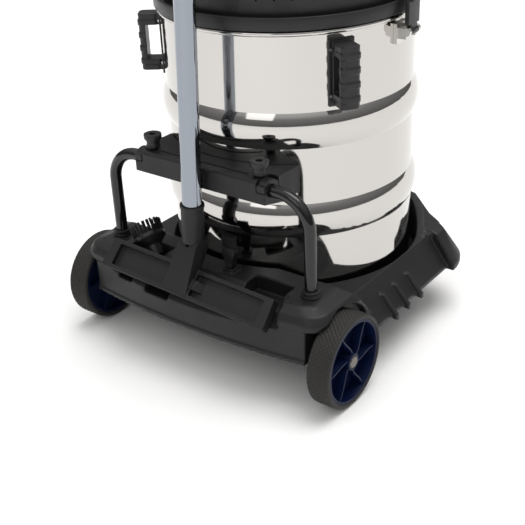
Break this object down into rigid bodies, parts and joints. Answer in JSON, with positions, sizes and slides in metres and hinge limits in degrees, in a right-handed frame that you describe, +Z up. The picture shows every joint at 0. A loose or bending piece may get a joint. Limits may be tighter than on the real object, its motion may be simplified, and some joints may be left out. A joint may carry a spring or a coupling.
{
  "type": "wet and dry vacuum cleaner",
  "caption": "Wet and dry vacuum cleaner: polished steel drum with a motor head on a moulded wheeled trolley, with a tube hoop, parked wand and floor nozzle.",
  "frame": {"origin": "on the floor, at the middle of the whole machine seen from above", "axes": "+Z up, +Y towards the front casters and the hose inlet, -Y towards the rear wheels and the parked wand, +X to the right seen from behind"},
  "size_m": [0.606, 0.6284, 1.2086],
  "materials": {
    "black_moulding": "satin",
    "dark_plate": "matte",
    "axle_steel": "bright",
    "zinc_steel": "zinc plated",
    "gloss_black_paint": "gloss",
    "screw_steel": "zinc plated",
    "black_rubber": "matte",
    "knob_plastic": "satin",
    "stainless": "mirror polished",
    "inner_plastic": "matte",
    "head_plastic": "satin",
    "motor_metal": "cast",
    "rotor_steel": "bright",
    "filter_cloth": "pleated",
    "float_plastic": "gloss",
    "rocker_red": "gloss",
    "tyre_rubber": "matte",
    "caster_tyre": "satin",
    "hub_blue": "gloss",
    "cap_metal": "satin",
    "wand_chrome": "polished",
    "brush_plastic": "satin",
    "bristle": "matte"
  },
  "bodies": {
    "trolley": {"trolley_base": "black_moulding", "bottom_plate": "dark_plate", "rear_axle": "axle_steel", "axle_brackets": "zinc_steel", "hoop_tube": "gloss_black_paint", "leg_collars": "black_moulding", "crossbar_block": "black_moulding", "saddle_cap_left": "black_moulding", "saddle_cap_right": "black_moulding", "bracket_screws": "screw_steel", "wand_rest": "black_rubber", "drum_shell": "stainless", "side_handle_left": "knob_plastic", "side_handle_right": "knob_plastic", "handle_screws": "screw_steel", "inlet_port": "knob_plastic", "inlet_deflector": "inner_plastic", "head_gasket": "black_rubber", "head_base": "head_plastic", "head_cover": "head_plastic", "motor_left": "motor_metal", "motor_right": "motor_metal", "filter_cage": "inner_plastic", "filter_element": "filter_cloth", "switch_panel": "head_plastic", "cord_gland": "black_rubber", "handle_lugs": "head_plastic", "latch_brackets": "zinc_steel", "cap_left": "cap_metal", "cap_right": "cap_metal", "caster_plates": "zinc_steel"},
    "wheel_left": {"tyre_left": "tyre_rubber", "hub_left": "hub_blue"},
    "wheel_right": {"tyre_right": "tyre_rubber", "hub_right": "hub_blue"},
    "swivel_left": {"caster_fork_left": "zinc_steel", "caster_axle_left": "zinc_steel"},
    "swivel_right": {"caster_fork_right": "zinc_steel", "caster_axle_right": "zinc_steel"},
    "caster_left": {"caster_wheel_left": "caster_tyre"},
    "caster_right": {"caster_wheel_right": "caster_tyre"},
    "knob_left": {"clamp_knob_left": "knob_plastic"},
    "knob_right": {"clamp_knob_right": "knob_plastic"},
    "fan_left": {"rotor_left": "rotor_steel"},
    "fan_right": {"rotor_right": "rotor_steel"},
    "float": {"float_ball": "float_plastic"},
    "switch_left": {"rocker_left": "rocker_red"},
    "switch_right": {"rocker_right": "rocker_red"},
    "top_handle": {"carry_handle": "knob_plastic"},
    "lever_left": {"latch_left": "knob_plastic"},
    "lever_right": {"latch_right": "knob_plastic"},
    "wand": {"wand_lower_tube": "wand_chrome", "wand_upper_tube": "wand_chrome", "wand_coupling": "knob_plastic", "wand_cuff": "black_moulding"},
    "nozzle": {"nozzle_shell": "black_moulding", "nozzle_sole": "black_rubber"},
    "round_brush": {"brush_body": "brush_plastic", "brush_bristles": "bristle"},
    "flat_brush": {"small_brush": "brush_plastic"}
  },
  "joints": [
    {"name": "wheel_left_roll", "type": "hinge", "parent": "trolley", "child": "wheel_left", "pos_m": [-0.281, -0.21785, 0.086], "axis": [1, 0, 0], "continuous": true},
    {"name": "wheel_right_roll", "type": "hinge", "parent": "trolley", "child": "wheel_right", "pos_m": [0.281, -0.21785, 0.086], "axis": [1, 0, 0], "continuous": true},
    {"name": "caster_left_swivel", "type": "hinge", "parent": "trolley", "child": "swivel_left", "pos_m": [-0.15, 0.20316, 0.088], "axis": [0, 0, 1], "continuous": true},
    {"name": "caster_right_swivel", "type": "hinge", "parent": "trolley", "child": "swivel_right", "pos_m": [0.15, 0.20316, 0.088], "axis": [0, 0, 1], "continuous": true},
    {"name": "caster_left_roll", "type": "hinge", "parent": "swivel_left", "child": "caster_left", "pos_m": [-0.15, 0.18715, 0.03], "axis": [1, 0, 0], "continuous": true},
    {"name": "caster_right_roll", "type": "hinge", "parent": "swivel_right", "child": "caster_right", "pos_m": [0.15, 0.18715, 0.03], "axis": [1, 0, 0], "continuous": true},
    {"name": "knob_left_turn", "type": "hinge", "parent": "trolley", "child": "knob_left", "pos_m": [-0.118, -0.21985, 0.4], "axis": [0, 0, 1], "continuous": true},
    {"name": "knob_right_turn", "type": "hinge", "parent": "trolley", "child": "knob_right", "pos_m": [0.118, -0.21985, 0.4], "axis": [0, 0, 1], "continuous": true},
    {"name": "fan_left_spin", "type": "hinge", "parent": "trolley", "child": "fan_left", "pos_m": [-0.088, 0.03816, 0.7], "axis": [0, 0, 1], "continuous": true},
    {"name": "fan_right_spin", "type": "hinge", "parent": "trolley", "child": "fan_right", "pos_m": [0.088, 0.03816, 0.7], "axis": [0, 0, 1], "continuous": true},
    {"name": "float_rise", "type": "slide", "parent": "trolley", "child": "float", "axis": [0, 0, 1], "range_m": [0, 0.1]},
    {"name": "switch_left_rock", "type": "hinge", "parent": "trolley", "child": "switch_left", "pos_m": [-0.028, 0.26016, 0.6825], "axis": [1, 0, 0], "range_deg": [0, 16]},
    {"name": "switch_right_rock", "type": "hinge", "parent": "trolley", "child": "switch_right", "pos_m": [0.028, 0.26016, 0.6825], "axis": [1, 0, 0], "range_deg": [0, 16]},
    {"name": "top_handle_fold", "type": "hinge", "parent": "trolley", "child": "top_handle", "pos_m": [0, 0.03816, 0.8475], "axis": [1, 0, 0], "range_deg": [-88, 88]},
    {"name": "lever_left_open", "type": "hinge", "parent": "trolley", "child": "lever_left", "pos_m": [-0.253, 0.03816, 0.59], "axis": [0, -1, 0], "range_deg": [0, 100]},
    {"name": "lever_right_open", "type": "hinge", "parent": "trolley", "child": "lever_right", "pos_m": [0.253, 0.03816, 0.59], "axis": [0, 1, 0], "range_deg": [0, 100]},
    {"name": "wand_lift", "type": "slide", "parent": "trolley", "child": "wand", "axis": [0.05, -0.25, 0.967], "range_m": [0, 0.25]},
    {"name": "nozzle_swing", "type": "hinge", "parent": "wand", "child": "nozzle", "pos_m": [-0.002, -0.26584, 0.246], "axis": [-0.9986, 0, 0.0523], "range_deg": [0, 33]},
    {"name": "round_brush_lift", "type": "slide", "parent": "trolley", "child": "round_brush", "axis": [0, 0, 1], "range_m": [0, 0.06]},
    {"name": "flat_brush_lift", "type": "slide", "parent": "trolley", "child": "flat_brush", "axis": [0, 0, 1], "range_m": [0, 0.06]}
  ]
}
